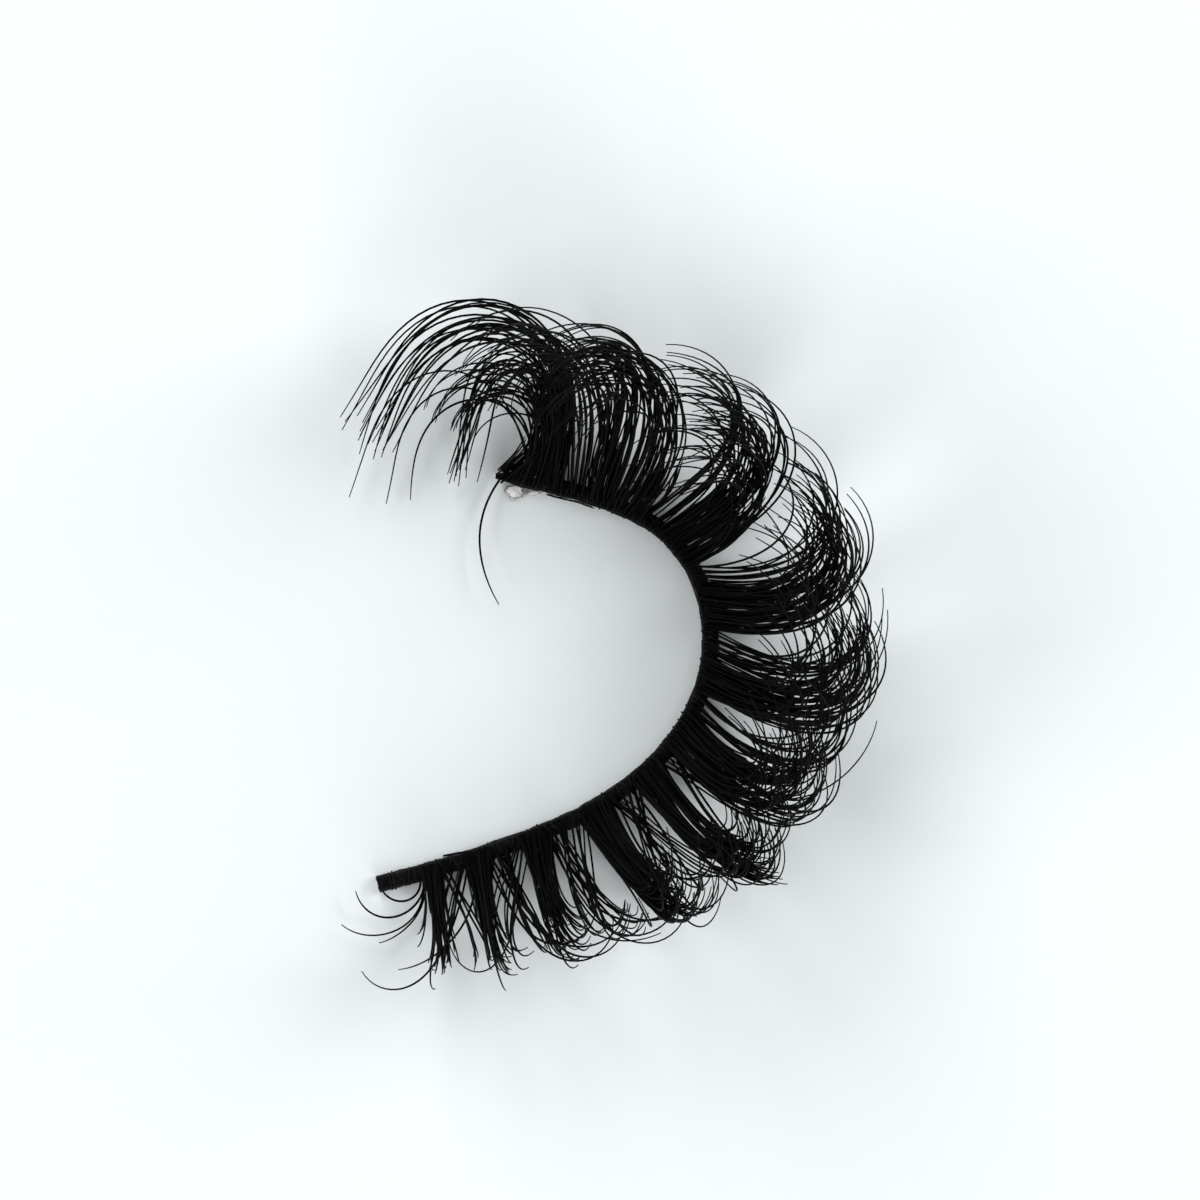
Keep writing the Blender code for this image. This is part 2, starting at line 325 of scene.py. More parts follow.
# How round their rims are, how fine their ragged outline is, the roughness, step and number of
# its layers, its change from one bit to the next, how fine the bumps of the surface are, their
# change toward the rim, their height as a share of half the thickness, and the lowest height
# above the floor
FLECK_ROUNDNESS = 0.6
FLECK_GRAIN = 1.3
FLECK_LAYERS = (0.7, 2.1, 4)
FLECK_STEP = 7.3
BUMP_GRAIN = 2.0
BUMP_STEP = 3.0
BUMP_HEIGHT = 0.35
FLECK_LOWEST = 0.005 * MM

# Names of the values that the meshes carry for the materials
HAIR_TONE = "hair_tone"
HAIR_ALONG = "hair_along"
FLECK_EDGE = "fleck_edge"

# Softboxes round the strip: compass direction that each stands in, its height above the
# horizon, both in degrees, and its power in watts
Softbox = namedtuple("Softbox", "azimuth height watts")
SOFTBOXES = (
    Softbox(20.0, 22.0, 6.4),
    Softbox(110.0, 22.0, 5.25),
    Softbox(200.0, 22.0, 4.5),
    Softbox(290.0, 22.0, 4.5),
)
SOFTBOX_DISTANCE = 0.80
SOFTBOX_SIZE = 0.45

# Even light from all round, and the camera's place over the floor
STUDIO_COLOUR = (0.95, 0.99, 1.0)
STUDIO_STRENGTH = 0.13
CAMERA_PLACE = (-4.21 * MM, 4.91 * MM)


def direction(degrees):
    angle = math.radians(degrees)
    return Vector((math.cos(angle), math.sin(angle), 0.0))


def walk_band(share):
    """Point and heading after this share of the band, walked arc by arc."""
    point = Vector((0.0, 0.0, 0.0))
    heading = HEADING_AT_OUTER_END
    left = share
    for arc in BAND_ARCS:
        part = min(left, arc.length)
        turn = arc.turn * part / arc.length
        half = math.radians(turn) / 2
        chord = part * BAND_LENGTH * (math.sin(half) / half if half else 1.0)
        point += direction(heading + turn / 2) * chord
        heading += turn
        left -= part
    return point, heading


def band_frame(share):
    """Middle of the underside at this share, and the heading of the band there."""
    point, heading = walk_band(share)
    return point - walk_band(BAND_MIDDLE)[0], heading


def root_limits(index):
    """First and last share of the band that a cluster's roots take up."""
    places = [cluster.place for cluster in CLUSTERS]
    start = BARE_OUTER_END / BAND_LENGTH
    end = 1.0 - BARE_INNER_END / BAND_LENGTH
    if index > 0:
        start = (places[index - 1] + places[index]) / 2
    if index < len(places) - 1:
        end = (places[index] + places[index + 1]) / 2
    return start, end


TreeInput = namedtuple("TreeInput", "name kind")


def tree_sockets(**kinds):
    """Named sockets of a tree, listed by their kind."""
    return [
        TreeInput(name, "NodeSocket" + kind) for kind, names in kinds.items() for name in names
    ]


def add_sockets(tree, items, in_out):
    for item in items:
        tree.interface.new_socket(item.name, in_out=in_out, socket_type=item.kind)


class NodeBuilder:
    """Short calls that add nodes to a tree; each gives the output socket of its node."""

    def __init__(self, tree):
        self.tree = tree

    def node(self, kind, **settings):
        made = self.tree.nodes.new(kind)
        for name, value in settings.items():
            setattr(made, name, value)
        return made

    def plug(self, socket, value):
        """Links an input to an output socket, or else sets its value."""
        if isinstance(value, bpy.types.NodeSocket):
            self.tree.links.new(value, socket)
        else:
            socket.default_value = value

    def plug_all(self, sockets, values):
        for name, value in values.items():
            self.plug(sockets[name], value)

    def make(self, kind, inputs, output=0, **settings):
        """Node with these inputs by name or identifier; gives its output by name or number."""
        made = self.node(kind, **settings)
        for name, value in inputs.items():
            sockets = [s for s in made.inputs if s.enabled and name in (s.name, s.identifier)]
            self.plug(sockets[0], value)
        return made.outputs[output]

    def in_order(self, kind, values, **settings):
        """Node with these inputs in the node's own order; gives its first output."""
        made = self.node(kind, **settings)
        for socket, value in zip(made.inputs, values):
            self.plug(socket, value)
        return made.outputs[0]

    def math(self, operation, *values):
        return self.in_order("ShaderNodeMath", values, operation=operation)

    def add(self, first, *rest):
        for value in rest:
            first = self.math("ADD", first, value)
        return first

    def times(self, first, *rest):
        for value in rest:
            first = self.math("MULTIPLY", first, value)
        return first

    def minus(self, first, second):
        return self.math("SUBTRACT", first, second)

    def over(self, first, second):
        return self.math("DIVIDE", first, second)

    def cos(self, angle):
        return self.math("COSINE", angle)

    def sin(self, angle):
        return self.math("SINE", angle)

    def vector(self, operation, *values):
        return self.in_order("ShaderNodeVectorMath", values, operation=operation)

    def scaled(self, vector, factor):
        made = self.node("ShaderNodeVectorMath", operation="SCALE")
        self.plug(made.inputs[0], vector)
        self.plug(made.inputs["Scale"], factor)
        return made.outputs[0]

    def xyz(self, x, y, z):
        return self.in_order("ShaderNodeCombineXYZ", (x, y, z))

    def raised(self, point, height):
        return self.vector("ADD", point, self.xyz(0.0, 0.0, height))

    def random(self, low, high, owner, seed):
        made = self.node("FunctionNodeRandomValue", data_type="FLOAT")
        sockets = {socket.identifier: socket for socket in made.inputs}
        values = {"Min_001": low, "Max_001": high, "ID": owner, "Seed": seed}
        self.plug_all(sockets, values)
        return next(socket for socket in made.outputs if socket.enabled)

    def mix_colours(self, factor, first, second):
        mix = self.node("ShaderNodeMix", data_type="RGBA")
        colours = [socket for socket in mix.inputs if socket.type == "RGBA"]
        self.plug(mix.inputs[0], factor)
        for socket, colour in zip(colours, (first, second)):
            linked = isinstance(colour, bpy.types.NodeSocket)
            self.plug(socket, colour if linked else (*colour, 1.0))
        return next(socket for socket in mix.outputs if socket.type == "RGBA")

    def between(self, value, low, high):
        """Where a value lies between two others, from 0 to 1."""
        limits = {"Value": value, "From Min": low, "From Max": high}
        return self.make("ShaderNodeMapRange", limits)

    def attribute(self, name):
        return self.make("ShaderNodeAttribute", {}, "Fac", attribute_name=name)

    def blotches(self, scale, detail):
        """Random mask on the piece's own coordinates."""
        place = self.make("ShaderNodeTexCoord", {}, "Object")
        values = {"Vector": place, "Scale": scale, "Detail": detail}
        return self.make("ShaderNodeTexNoise", values)


def start_tree(name, inputs):
    """Empty Geometry Nodes tree with these named inputs; gives it with its builder and inputs."""
    tree = bpy.data.node_groups.new(name, "GeometryNodeTree")
    geometry = tree_sockets(Geometry=("Geometry",))
    add_sockets(tree, geometry + inputs, "INPUT")
    add_sockets(tree, geometry, "OUTPUT")
    build = NodeBuilder(tree)
    return tree, build, build.node("NodeGroupInput").outputs


def end_tree(build, given, geometry, material):
    """Ends a tree: adds what it made to what came in, as real geometry with its material."""
    values = {"Geometry": geometry, "Shade Smooth": True}
    smooth = build.make("GeometryNodeSetShadeSmooth", values)
    together = build.node("GeometryNodeJoinGeometry")
    build.plug(together.inputs[0], smooth)
    build.plug(together.inputs[0], given["Geometry"])
    real = build.make("GeometryNodeRealizeInstances", {"Geometry": together.outputs[0]})
    painted = build.make("GeometryNodeSetMaterial", {"Geometry": real, "Material": material})
    build.plug(build.node("NodeGroupOutput").inputs[0], painted)


def straight_line(build, points):
    line = build.make("GeometryNodeCurvePrimitiveLine", {})
    return build.make("GeometryNodeResampleCurve", {"Curve": line, "Count": points})


def line_copies(build, number, points):
    """This many straight lines, one curve each, to be moved point by point."""
    starts = build.make("GeometryNodePoints", {"Count": number})
    values = {"Points": starts, "Instance": straight_line(build, points)}
    copies = build.make("GeometryNodeInstanceOnPoints", values)
    return build.make("GeometryNodeRealizeInstances", {"Geometry": copies})


def move_to(build, geometry, position):
    return build.make("GeometryNodeSetPosition", {"Geometry": geometry, "Position": position})


def circle(build, points, radius=1.0):
    values = {"Resolution": points, "Radius": radius}
    return build.make("GeometryNodeCurvePrimitiveCircle", values)


def flat_ring(build, given, points):
    """Oval of the tree's width and thickness."""
    size = build.xyz(given["Width"], given["Thickness"], 1.0)
    values = {"Geometry": circle(build, points, 0.5), "Scale": size}
    return build.make("GeometryNodeTransform", values)


def sweep(build, curve, profile, scale, caps=True):
    """Mesh of a profile that is drawn along a curve."""
    values = {"Curve": curve, "Profile Curve": profile, "Scale": scale, "Fill Caps": caps}
    return build.make("GeometryNodeCurveToMesh", values)


def follow_path(build, given, share):
    """Point, tangent and outward direction of the band path at this share of it."""
    path = build.make("GeometryNodeObjectInfo", {"Object": given["Band Path"]}, "Geometry")
    sample = build.node("GeometryNodeSampleCurve", mode="FACTOR", use_all_curves=True)
    build.plug_all(sample.inputs, {"Curves": path, "Factor": share})
    tangent = sample.outputs["Tangent"]
    outward = build.vector("CROSS_PRODUCT", tuple(UP), tangent)
    return sample.outputs["Position"], tangent, outward


def narrowed(build, given, share):
    """Share of the full width: less where the band comes to its point."""
    values = {"Value": share, "From Max": given["Point Share"], "To Min": given["Point Size"]}
    return build.make("ShaderNodeMapRange", values)


TUFT_INPUTS = tree_sockets(
    Object=("Band Path",),
    Material=("Fibre",),
    Int=("Hairs", "Clump Size", "Seed"),
    Float=(
        "Clump Hold", "Root Start", "Root End", "Root Inner", "Root Outer", "Root Bottom",
        "Root Top", "Length", "Shortest", "Dome", "Azimuth", "Azimuth Spread", "Gather", "Fan",
        "Splay", "Lift", "Lift Spread", "Roll", "Roll Spread", "Roll Fan", "Curl",
        "Curl Spread", "Curl Power", "Curl Ease", "Bend From", "Bend To", "Clump Pull", "Wave",
        "Hair Radius", "Tip Radius", "Taper Power",
    ),
)


def make_tuft_tree():
    """Tree that grows one tuft: hairs that leave the band straight and curl up and over."""
    tree, build, given = start_tree("Lash Tuft", TUFT_INPUTS)
    add, times, minus, over = build.add, build.times, build.minus, build.over
    cos, sin = build.cos, build.sin

    strands = line_copies(build, given["Hairs"], HAIR_POINTS)
    place = build.node("GeometryNodeCurveOfPoint").outputs
    hair, step = place["Curve Index"], place["Index in Curve"]
    along = over(step, HAIR_POINTS - 1.0)
    clump = build.math("FLOOR", over(hair, given["Clump Size"]))
    clumps = build.math("CEIL", over(given["Hairs"], given["Clump Size"]))

    def chance(owner, number, low=0.0, high=1.0):
        """Random value of its own for each number that is added to the seed."""
        return build.random(low, high, owner, add(given["Seed"], float(number)))

    def swing(number):
        """Random value around 0, mostly shared by the hairs of a clump; takes four numbers."""
        shared = add(chance(clump, number), chance(clump, number + 1), -1.0)
        own = add(chance(hair, number + 2), chance(hair, number + 3), -1.0)
        free = minus(1.0, given["Clump Hold"])
        return add(times(shared, given["Clump Hold"]), times(own, free))

    # Root of each hair
    jitter = chance(hair, 1, -ROOT_JITTER, ROOT_JITTER)
    across = over(add(clump, 0.5, jitter), clumps)
    spread = add(across, -0.5)
    reach = minus(given["Root End"], given["Root Start"])
    share = add(given["Root Start"], times(across, reach))
    middle_line, _, outward = follow_path(build, given, share)
    side = chance(hair, 2, given["Root Inner"], given["Root Outer"])
    height = chance(hair, 3, given["Root Bottom"], given["Root Top"])
    aside_root = build.vector("ADD", middle_line, build.scaled(outward, side))
    root = build.raised(aside_root, height)

    # Its length, and its compass direction, where what comes early fades out toward the tip
    shorter = times(chance(hair, 4), minus(1.0, given["Shortest"]))
    rounded = times(given["Dome"], spread, spread, 4.0)
    longest = times(given["Length"], minus(1.0, rounded))
    length = times(longest, minus(1.0, shorter))
    early = build.math("POWER", minus(1.0, along), 2.0)
    phase = times(add(times(along, WAVES_PER_HAIR), chance(hair, 5)), 2.0 * math.pi)
    azimuth = add(
        given["Azimuth"],
        times(given["Azimuth Spread"], swing(20)),
        times(given["Gather"], spread, early),
        times(given["Clump Pull"], over(jitter, clumps), early),
        times(given["Fan"], spread, along, -1.0),
        times(given["Splay"], swing(10), along, along),
        times(given["Wave"], sin(phase)),
    )

    # Its curl, taken at the middle of each step
    lift = add(given["Lift"], times(given["Lift Spread"], swing(30)))
    tilt = times(given["Roll Fan"], spread)
    roll = add(given["Roll"], times(given["Roll Spread"], swing(40)), tilt)
    curl = times(given["Curl"], add(times(given["Curl Spread"], swing(50)), 1.0))
    halfway = build.math("MAXIMUM", over(add(step, -0.5), HAIR_POINTS - 1.0), 0.0)
    late = build.math("POWER", halfway, given["Curl Power"])
    eased = build.make(
        "ShaderNodeMapRange",
        {"Value": halfway, "From Min": given["Bend From"], "From Max": given["Bend To"]},
        interpolation_type="SMOOTHSTEP",
    )
    turned = times(curl, add(late, times(given["Curl Ease"], minus(eased, late))))

    # Each step's direction, and the hair as the sum of its steps, kept above the floor
    upright = times(sin(turned), cos(roll))
    aside = times(sin(turned), sin(roll))
    forward = minus(times(cos(turned), cos(lift)), times(upright, sin(lift)))
    upward = add(times(cos(turned), sin(lift)), times(upright, cos(lift)))
    x = minus(times(forward, cos(azimuth)), times(aside, sin(azimuth)))
    y = add(times(forward, sin(azimuth)), times(aside, cos(azimuth)))
    pace = times(length, 1.0 / (HAIR_POINTS - 1), build.math("GREATER_THAN", step, 0.5))
    grown = build.node("GeometryNodeAccumulateField", data_type="FLOAT_VECTOR", domain="POINT")
    strides = build.scaled(build.xyz(x, y, upward), pace)
    build.plug_all(grown.inputs, {"Value": strides, "Group ID": hair})
    point = build.node("ShaderNodeSeparateXYZ")
    build.plug(point.inputs[0], build.vector("ADD", root, grown.outputs["Leading"]))
    lowest = times(given["Hair Radius"], THICKEST_HAIR)
    above = build.math("MAXIMUM", point.outputs[2], lowest)
    toned = move_to(build, strands, build.xyz(point.outputs[0], point.outputs[1], above))

    # Values that the fibre's colour follows, and the tube of the hair
    for name, value in ((HAIR_TONE, chance(hair, 6)), (HAIR_ALONG, along)):
        toned = build.make(
            "GeometryNodeStoreNamedAttribute",
            {"Geometry": toned, "Name": name, "Value": value},
            data_type="FLOAT",
            domain="POINT",
        )
    body = minus(1.0, build.math("POWER", along, given["Taper Power"]))
    full = times(given["Hair Radius"], chance(hair, 7, THINNEST_HAIR, THICKEST_HAIR))
    taper = times(minus(full, given["Tip Radius"]), body)
    tubes = sweep(build, toned, circle(build, HAIR_SIDES), add(given["Tip Radius"], taper))
    end_tree(build, given, tubes, given["Fibre"])
    return tree


FILM_INPUTS = tree_sockets(
    Object=("Band Path",),
    Material=("Thread",),
    Float=(
        "Width", "Thickness", "Height", "Unevenness", "Grain", "Point Share", "Point Size",
    ),
)


def make_film_tree():
    """Tree for the flat, glue-soaked ribbon along the band."""
    tree, build, given = start_tree("Lash Band Film", FILM_INPUTS)
    share = build.make("GeometryNodeSplineParameter", {}, "Factor")
    middle, _, _ = follow_path(build, given, share)
    line = straight_line(build, FILM_POINTS)
    placed = move_to(build, line, build.raised(middle, given["Height"]))
    upright = build.make("GeometryNodeSetCurveNormal", {"Curve": placed}, mode="Z_UP")
    ring = flat_ring(build, given, FILM_SIDES)
    body = sweep(build, upright, ring, narrowed(build, given, share))
    place = build.node("GeometryNodeInputPosition").outputs[0]
    values = {"Vector": place, "Scale": given["Grain"], "Detail": 2.0}
    grain = build.make("ShaderNodeTexNoise", values, "Fac")
    swell = build.times(build.add(grain, -0.5), given["Unevenness"])
    offset = build.scaled(build.node("GeometryNodeInputNormal").outputs[0], swell)
    uneven = build.make("GeometryNodeSetPosition", {"Geometry": body, "Offset": offset})
    end_tree(build, given, uneven, given["Thread"])
    return tree


CORD_INPUTS = tree_sockets(
    Object=("Band Path",),
    Material=("Thread",),
    Int=("Plies",),
    Float=(
        "Offset", "Height", "Ply Radius", "Winding Width", "Winding Height", "Turns",
        "Point Share", "Point Size",
    ),
)


def make_cord_tree():
    """Tree for one twisted cord that runs along the band."""
    tree, build, given = start_tree("Lash Band Cord", CORD_INPUTS)
    add, times = build.add, build.times
    plies = line_copies(build, given["Plies"], CORD_POINTS)
    place = build.node("GeometryNodeCurveOfPoint").outputs
    share = build.over(place["Index in Curve"], CORD_POINTS - 1.0)
    middle, _, outward = follow_path(build, given, share)
    slim = narrowed(build, given, share)
    part = build.over(place["Curve Index"], given["Plies"])
    angle = times(add(times(share, given["Turns"]), part), 2.0 * math.pi)
    aside = add(given["Offset"], times(given["Winding Width"], build.cos(angle)))
    above = add(given["Height"], times(given["Winding Height"], build.sin(angle)))
    point = build.vector("ADD", middle, build.scaled(outward, times(aside, slim)))
    placed = move_to(build, plies, build.raised(point, above))
    tubes = sweep(build, placed, circle(build, CORD_SIDES), times(given["Ply Radius"], slim))
    end_tree(build, given, tubes, given["Thread"])
    return tree


KNOT_INPUTS = tree_sockets(
    Object=("Band Path",),
    Material=("Thread",),
    Int=("Knots", "Seed"),
    Float=(
        "Width", "Thickness", "Height", "Thread Radius", "Slant", "First Share", "Last Share",
    ),
)


def make_knot_tree():
    """Tree for the knots: slanted loops of hair drawn tight round the band."""
    tree, build, given = start_tree("Lash Band Knots", KNOT_INPUTS)
    add, times = build.add, build.times
    number = build.node("GeometryNodeInputIndex").outputs[0]

    def chance(order, low, high):
        return build.random(low, high, number, add(given["Seed"], float(order)))

    place = add(number, chance(1, -KNOT_JITTER, KNOT_JITTER))
    part = build.over(place, add(given["Knots"], -1.0))
    reach = build.minus(given["Last Share"], given["First Share"])
    share = add(given["First Share"], times(part, reach))
    middle, tangent, outward = follow_path(build, given, share)
    raised = build.raised(middle, given["Height"])
    points = build.make("GeometryNodePoints", {"Count": given["Knots"], "Position": raised})
    slant = times(given["Slant"], chance(2, -1.0, 1.0))
    slanted = build.vector("ADD", outward, build.scaled(tangent, slant))
    turn = build.make(
        "FunctionNodeAxesToRotation",
        {"Primary Axis": slanted, "Secondary Axis": tuple(UP)},
        primary_axis="X",
        secondary_axis="Y",
    )
    loop = flat_ring(build, given, KNOT_POINTS)
    thread = circle(build, KNOT_SIDES)
    tube = sweep(build, loop, thread, given["Thread Radius"], caps=False)
    size = chance(3, *KNOT_SIZES)
    knots = build.make(
        "GeometryNodeInstanceOnPoints",
        {"Points": points, "Instance": tube, "Rotation": turn, "Scale": build.xyz(size, size, 1.0)},
    )
    end_tree(build, given, knots, given["Thread"])
    return tree


def add_modifier(piece, tree, values):
    """Modifier that runs a tree on a piece, with each input set by its socket's identifier."""
    modifier = piece.modifiers.new(tree.name, "NODES")
    modifier.node_group = tree
    inputs = {
        item.name: item.identifier
        for item in tree.interface.items_tree
        if item.item_type == "SOCKET" and item.in_out == "INPUT"
    }
    for name, value in values.items():
        modifier[inputs[name]] = value


def make_band_path():
    """Helper curve along the middle of the band's underside."""
    curve = bpy.data.curves.new("band_path", "CURVE")
    curve.dimensions = "3D"
    spline = curve.splines.new("POLY")
    spline.points.add(PATH_POINTS - 1)
    for number, point in enumerate(spline.points):
        place, _ = band_frame(number / (PATH_POINTS - 1))
        point.co = (*place, 1.0)
    path = bpy.data.objects.new("band_path", curve)
    bpy.context.scene.collection.objects.link(path)
    return path


def new_piece(name):
    piece = bpy.data.objects.new(name, bpy.data.meshes.new(name))
    bpy.context.scene.collection.objects.link(piece)
    return piece


def settle(piece):
    """Turns what a piece's modifiers make into its plain mesh."""
    bpy.context.view_layer.update()
    depsgraph = bpy.context.evaluated_depsgraph_get()
    mesh = bpy.data.meshes.new_from_object(
        piece.evaluated_get(depsgraph), preserve_all_data_layers=True, depsgraph=depsgraph
    )
    if not mesh.polygons:
        raise RuntimeError(f"{piece.name} is empty")
    piece.modifiers.clear()
    mesh.name = piece.name
    piece.data = mesh


GRAIN_INPUTS = tree_sockets(
    Float=("Scale", "Detail", "Roughness", "Roughness Change", "Strength", "Distance")
)
GRAIN_OUTPUTS = tree_sockets(Float=("Grain", "Roughness"), Vector=("Normal",))
GRAIN_GROUP = "Fine Grain"


def grain_group():
    """Shader node group for the fine grain of a surface: its mask, roughness and normal."""
    if GRAIN_GROUP in bpy.data.node_groups:
        return bpy.data.node_groups[GRAIN_GROUP]
    group = bpy.data.node_groups.new(GRAIN_GROUP, "ShaderNodeTree")
    add_sockets(group, GRAIN_INPUTS, "INPUT")
    add_sockets(group, GRAIN_OUTPUTS, "OUTPUT")
    build = NodeBuilder(group)
    given = build.node("NodeGroupInput").outputs
    grain = build.blotches(given["Scale"], given["Detail"])
    rough = build.add(build.times(grain, given["Roughness Change"]), given["Roughness"])
    bump = {"Height": grain, "Strength": given["Strength"], "Distance": given["Distance"]}
    normal = build.make("ShaderNodeBump", bump)
    end = build.node("NodeGroupOutput")
    build.plug_all(end.inputs, {"Grain": grain, "Roughness": rough, "Normal": normal})
    return group


def add_grain(build, **values):
    """Places the grain group in a material with these values; gives its outputs."""
    made = build.node("ShaderNodeGroup", node_tree=grain_group())
    for name, value in values.items():
        build.plug(made.inputs[name.replace("_", " ").title()], value)
    return made.outputs


def start_material(name):
    """Material, with its builder and the inputs of its shader."""
    material = bpy.data.materials.new(name)
    material.use_nodes = True
    build = NodeBuilder(material.node_tree)
    return material, build, material.node_tree.nodes["Principled BSDF"].inputs


def fibre_material():
    """Black fibre, each hair a little different, a little lighter toward the tips."""
    settings = bpy.context.scene.lash_hair
    material, build, surface = start_material("lash_fibre")
    tone = build.attribute(HAIR_TONE)
    along = build.attribute(HAIR_ALONG)
    lighter = build.times(tone, build.add(build.times(along, 0.6), 0.4))
    grain = add_grain(
        build,
        scale=9000.0,
        detail=3.0,
        roughness=build.add(build.times(tone, 0.12), settings.roughness),
        roughness_change=0.10,
        strength=0.25,
        distance=0.004 * MM,
    )
    values = {
        "Base Color": build.mix_colours(lighter, settings.colour, settings.tip_colour),
        "Roughness": grain["Roughness"],
        "Specular IOR Level": 0.06,
        "Normal": grain["Normal"],
    }
    build.plug_all(surface, values)
    return material


def thread_material():
    """Black thread soaked in glue: smoother where the glue lies, with small glints painted there as
    a lighter colour.
    """
    settings = bpy.context.scene.lash_band
    material, build, surface = start_material("band_thread")
    glue = build.blotches(2200.0, 2.0)
    # Where the glue lies the thread is smoother, and its colour is lighter as a painted glint
    shine = build.between(glue, 0.56, 0.70)
    grain = add_grain(
        build,
        scale=12000.0,
        detail=3.0,
        roughness=build.add(build.times(shine, -0.22), settings.roughness),
        roughness_change=0.14,
        strength=0.35,
        distance=0.006 * MM,
    )
    values = {
        "Base Color": build.mix_colours(shine, settings.colour, settings.glue_glint_colour),
        "Roughness": grain["Roughness"],
        "Specular IOR Level": 0.14,
        "Normal": grain["Normal"],
    }
    build.plug_all(surface, values)
    return material


def adhesive_material():
    """Clear adhesive that dried milky in places, with painted shade darkening the rim of each bit.
    """
    settings = bpy.context.scene.lash_adhesive
    material, build, surface = start_material("dried_adhesive")
    milk = add_grain(build, scale=3600.0, detail=4.0, strength=0.5, distance=0.02 * MM)
    cloudy = build.between(milk["Grain"], 0.38, 0.66)
    # Painted shade: the colour darkens toward the rim of each bit
    rim = build.between(build.attribute(FLECK_EDGE), 0.72, 0.97)
    body = build.mix_colours(cloudy, settings.colour, settings.milky_colour)
    values = {
        "Base Color": build.mix_colours(rim, body, settings.rim_shade_colour),
        "Roughness": build.add(build.times(cloudy, 0.35), 0.22),
        "Transmission Weight": 0.12,
        "IOR": 1.47,
        "Normal": milk["Normal"],
    }
    build.plug_all(surface, values)
    return material


def floor_material():
    """Smooth white card with a faint mottle and a fine tooth."""
    settings = bpy.context.scene.lash_stage
    material, build, surface = start_material("floor_card")
    mottle = build.blotches(60.0, 2.0)
    darker = tuple(0.985 * value for value in settings.floor_colour)
    tooth = add_grain(
        build,
        scale=2400.0,
        detail=4.0,
        roughness=0.86,
        roughness_change=0.06,
        strength=0.10,
        distance=0.01 * MM,
    )
    values = {
        "Base Color": build.mix_colours(mottle, settings.floor_colour, darker),
        "Roughness": tooth["Roughness"],
        "Specular IOR Level": 0.1,
        "Normal": tooth["Normal"],
    }
    build.plug_all(surface, values)
    return material


# Kinds of size and colour that a user can change
DISTANCE = {"subtype": "DISTANCE", "unit": "LENGTH"}
SHARE = {"min": 0.0, "max": 1.0, "subtype": "FACTOR"}
COLOUR = {"size": 3, "min": 0.0, "max": 1.0, "subtype": "COLOR"}


class HairSettings(bpy.types.PropertyGroup):
    length: FloatProperty(
        name="Hair Length",
        description="Length of the longest hair of the main tufts, along its curl",
        default=17.0 * MM, min=5.0 * MM, **DISTANCE,
    )
    thickness: FloatProperty(
        name="Hair Thickness",
        description="Diameter of a hair where it leaves the band",
        default=0.104 * MM, min=0.02 * MM, **DISTANCE,
    )
    tip_thickness: FloatProperty(
        name="Tip Thickness",
        description="Diameter of a hair at its tip",
        default=0.046 * MM, min=0.005 * MM, **DISTANCE,
    )
    fullness: FloatProperty(
        name="Fullness",
        description="Share of the usual number of hairs",
        default=1.0, min=0.1, max=1.5, subtype="FACTOR",
    )
    seed: IntProperty(
        name="Seed", description="Start of the random order of the hairs", default=SEED
    )
    roughness: FloatProperty(
        name="Roughness",
        description="Roughness of the fibre",
        default=0.40, **SHARE,
    )
    colour: FloatVectorProperty(
        name="Fibre Colour",
        description="Colour of the fibre near the band",
        default=(0.0005, 0.0005, 0.0007), **COLOUR,
    )
    tip_colour: FloatVectorProperty(
        name="Tip Colour",
        description="Colour of the lightest hairs at their tips",
        default=(0.0030, 0.0027, 0.0032), **COLOUR,
    )


class BandSettings(bpy.types.PropertyGroup):
    ribbon_width: FloatProperty(
        name="Ribbon Width",
        description="Width of the glue-soaked ribbon inside the band",
        default=0.76 * MM, min=0.1 * MM, **DISTANCE,
    )
    ribbon_thickness: FloatProperty(
        name="Ribbon Thickness",
        description="Thickness of the glue-soaked ribbon",
        default=0.26 * MM, min=0.05 * MM, **DISTANCE,
    )
    ply_thickness: FloatProperty(
        name="Ply Thickness",
        description="Diameter of one ply of the twisted cords",
        default=0.11 * MM, min=0.02 * MM, **DISTANCE,
    )
    knot_thickness: FloatProperty(
        name="Knot Thickness",
        description="Diameter of the hair that is drawn round the band at each knot",
        default=0.10 * MM, min=0.02 * MM, **DISTANCE,
    )
    knots: IntProperty(
        name="Knots", description="Number of knots along the band", default=104, min=2, soft_max=200
    )
    seed: IntProperty(
        name="Seed", description="Start of the random order of the knots", default=5
    )
    roughness: FloatProperty(
        name="Roughness",
        description="Roughness of the thread",
        default=0.52, **SHARE,
    )
    colour: FloatVectorProperty(
        name="Thread Colour",
        description="Colour of the thread",
        default=(0.0008, 0.0008, 0.0010), **COLOUR,
    )
    # Lighter colour of the thread where glue lies: a painted glint
    glue_glint_colour: FloatVectorProperty(
        name="Glue Glint Colour",
        description="Colour of the thread where glue lies on it",
        default=(0.0060, 0.0060, 0.0068), **COLOUR,
    )


class AdhesiveSettings(bpy.types.PropertyGroup):
    raggedness: FloatProperty(
        name="Raggedness",
        description="How uneven the outline of each bit is",
        default=0.55, **SHARE,
    )
    colour: FloatVectorProperty(
        name="Clear Colour",
        description="Colour of the adhesive where it is clear",
        default=(0.66, 0.64, 0.62), **COLOUR,
    )
    milky_colour: FloatVectorProperty(
        name="Milky Colour",
        description="Colour of the adhesive where it dried milky",
        default=(0.97, 0.96, 0.95), **COLOUR,
    )
    # Painted shade at the rim of each bit of adhesive
    rim_shade_colour: FloatVectorProperty(
        name="Rim Shade Colour",
        description="Colour of the adhesive at the edge of each bit",
        default=(0.10, 0.095, 0.09), **COLOUR,
    )


